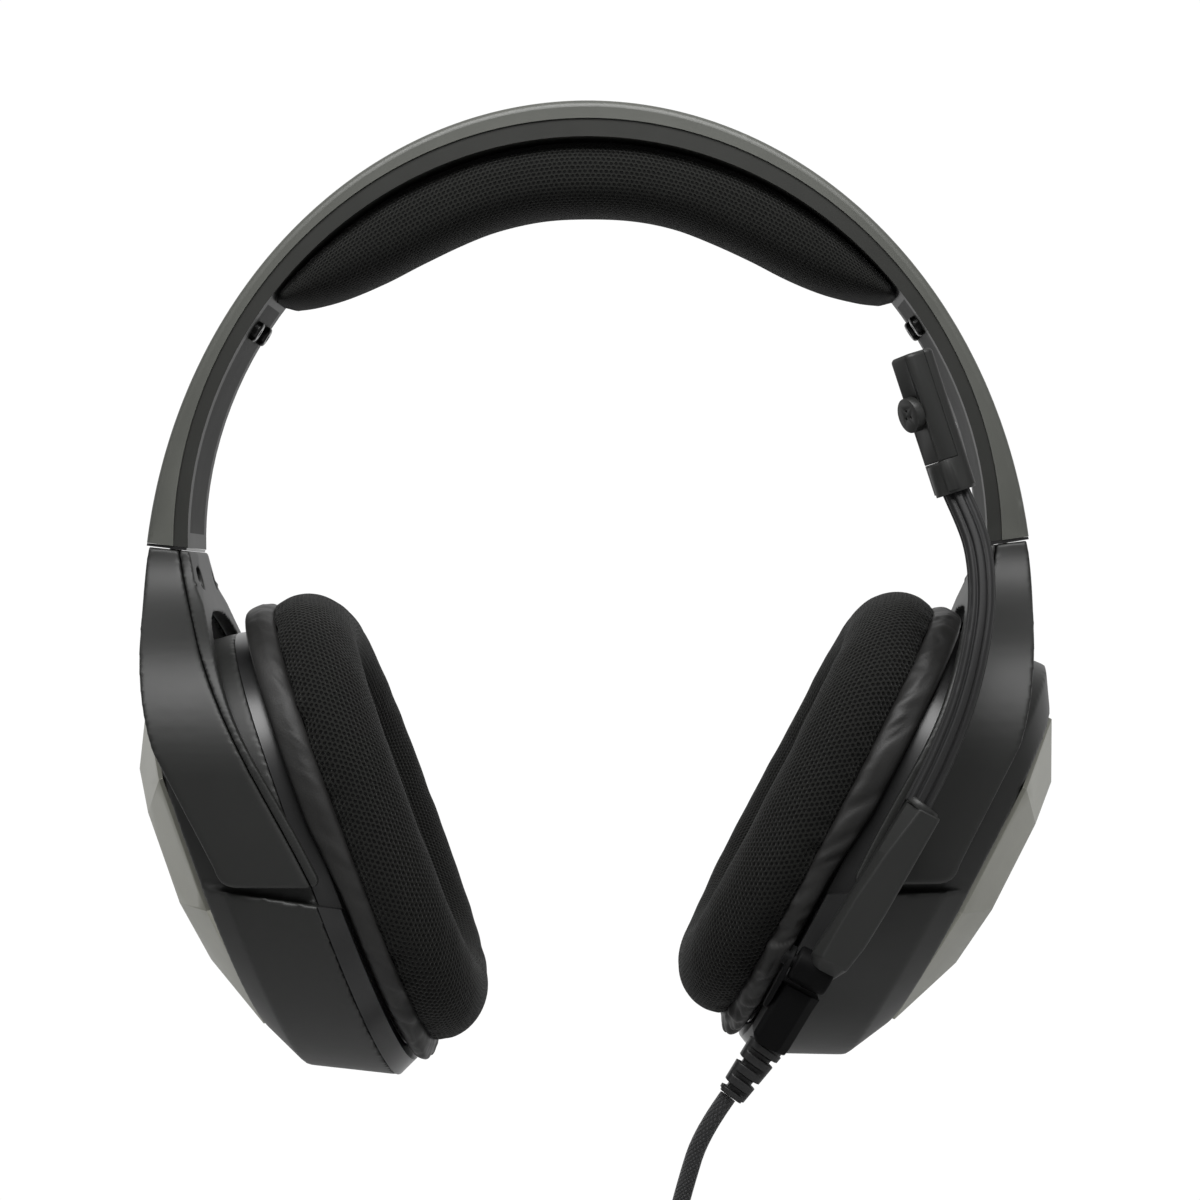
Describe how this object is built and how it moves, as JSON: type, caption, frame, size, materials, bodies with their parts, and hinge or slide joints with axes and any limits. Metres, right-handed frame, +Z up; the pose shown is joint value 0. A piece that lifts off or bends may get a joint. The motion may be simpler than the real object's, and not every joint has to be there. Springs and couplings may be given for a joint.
{
  "type": "gaming headset",
  "caption": "Over-ear wired headset: sprung headband with knit head pad, sliding yokes, tilting cups with knit ear pads, swinging flexible boom microphone, braided lead and plug.",
  "frame": {"origin": "middle of the head pad's underside, where it rests on the wearer's head", "axes": "+Z up, -Y towards the wearer's face, +X towards the wearer's left ear, the side with the microphone and lead"},
  "size_m": [0.188, 0.1003, 0.2988],
  "materials": {
    "band_satin": "satin paint on a moulded shell",
    "dark_plastic": "fine satin texture",
    "gloss_black": "polished",
    "plate_metal": "satin champagne grey metallic",
    "knit": "open mesh knit",
    "leatherette": "smooth with puckers",
    "scrim": "thin acoustic cloth",
    "spring_steel": "rolled",
    "black_screw": "black oxide",
    "driver_plastic": "plain",
    "driver_magnet": "plated",
    "diaphragm": "clear film look",
    "soft_black": "satin",
    "braid": "braided sleeve",
    "wire_skin": "plain",
    "mic_can": "plain",
    "plug_metal": "plated",
    "plug_insulator": "plain"
  },
  "bodies": {
    "headband": {"headband_shell": "band_satin", "headband_rim": "dark_plastic", "headband_spring": "spring_steel", "headband_wire": "wire_skin", "left_inner_cover": "dark_plastic", "right_inner_cover": "dark_plastic", "left_end_cap": "dark_plastic", "right_end_cap": "dark_plastic", "cover_screws": "black_screw", "head_pad": "knit"},
    "left_yoke": {"left_yoke_outer_shell": "dark_plastic", "left_yoke_inner_shell": "dark_plastic", "left_size_strip": "spring_steel", "left_yoke_screws": "black_screw", "left_pivot_pins": "spring_steel"},
    "left_cup": {"left_cup_shell": "dark_plastic", "left_side_plate": "plate_metal", "left_cup_rim": "gloss_black", "left_baffle": "gloss_black", "left_cup_screws": "black_screw", "left_driver_frame": "driver_plastic", "left_driver_magnet": "driver_magnet", "left_driver_diaphragm": "diaphragm", "left_driver_scrim": "scrim", "left_ear_pad_skirt": "leatherette", "left_ear_pad_knit": "knit", "volume_holder": "soft_black", "cable_entry_block": "gloss_black", "boom_pin": "spring_steel", "strain_relief": "soft_black", "main_cable": "braid", "cable_coil": "braid", "coil_tie": "soft_black", "plug_grip": "soft_black", "plug_contacts": "plug_metal", "plug_insulators": "plug_insulator"},
    "right_yoke": {"right_yoke_outer_shell": "dark_plastic", "right_yoke_inner_shell": "dark_plastic", "right_size_strip": "spring_steel", "right_yoke_screws": "black_screw", "right_pivot_pins": "spring_steel"},
    "right_cup": {"right_cup_shell": "dark_plastic", "right_side_plate": "plate_metal", "right_cup_rim": "gloss_black", "right_baffle": "gloss_black", "right_cup_screws": "black_screw", "right_driver_frame": "driver_plastic", "right_driver_magnet": "driver_magnet", "right_driver_diaphragm": "diaphragm", "right_driver_scrim": "scrim", "right_ear_pad_skirt": "leatherette", "right_ear_pad_knit": "knit"},
    "volume_wheel": {"volume_wheel": "dark_plastic"},
    "boom": {"boom_base_arm": "dark_plastic", "gooseneck_lower": "soft_black"},
    "microphone": {"gooseneck_upper": "soft_black", "mic_shell_front": "dark_plastic", "mic_shell_back": "dark_plastic", "mic_element": "mic_can", "mic_port": "dark_plastic"}
  },
  "joints": [
    {"name": "left_size_slide", "type": "slide", "parent": "headband", "child": "left_yoke", "axis": [0.1994, 0, -0.9799], "range_m": [0, 0.024]},
    {"name": "right_size_slide", "type": "slide", "parent": "headband", "child": "right_yoke", "axis": [-0.1994, 0, -0.9799], "range_m": [0, 0.024]},
    {"name": "left_cup_tilt", "type": "hinge", "parent": "left_yoke", "child": "left_cup", "pos_m": [0.066, 0, -0.131], "axis": [0, 1, 0], "range_deg": [-12, 3]},
    {"name": "right_cup_tilt", "type": "hinge", "parent": "right_yoke", "child": "right_cup", "pos_m": [-0.066, 0, -0.131], "axis": [0, -1, 0], "range_deg": [-4, 11]},
    {"name": "boom_swing", "type": "hinge", "parent": "left_cup", "child": "boom", "pos_m": [0.04426, -0.0502, -0.15229], "axis": [0.8829, 0, -0.4695], "range_deg": [0, 110]},
    {"name": "boom_flex", "type": "hinge", "parent": "boom", "child": "microphone", "pos_m": [0.0773, -0.0491, -0.0848], "axis": [0, 1, 0], "range_deg": [-28, 22]},
    {"name": "volume_turn", "type": "hinge", "parent": "left_cup", "child": "volume_wheel", "pos_m": [0.05538, 0.0314, -0.1514], "axis": [0.8829, 0, -0.4695], "range_deg": [-140, 140]}
  ]
}
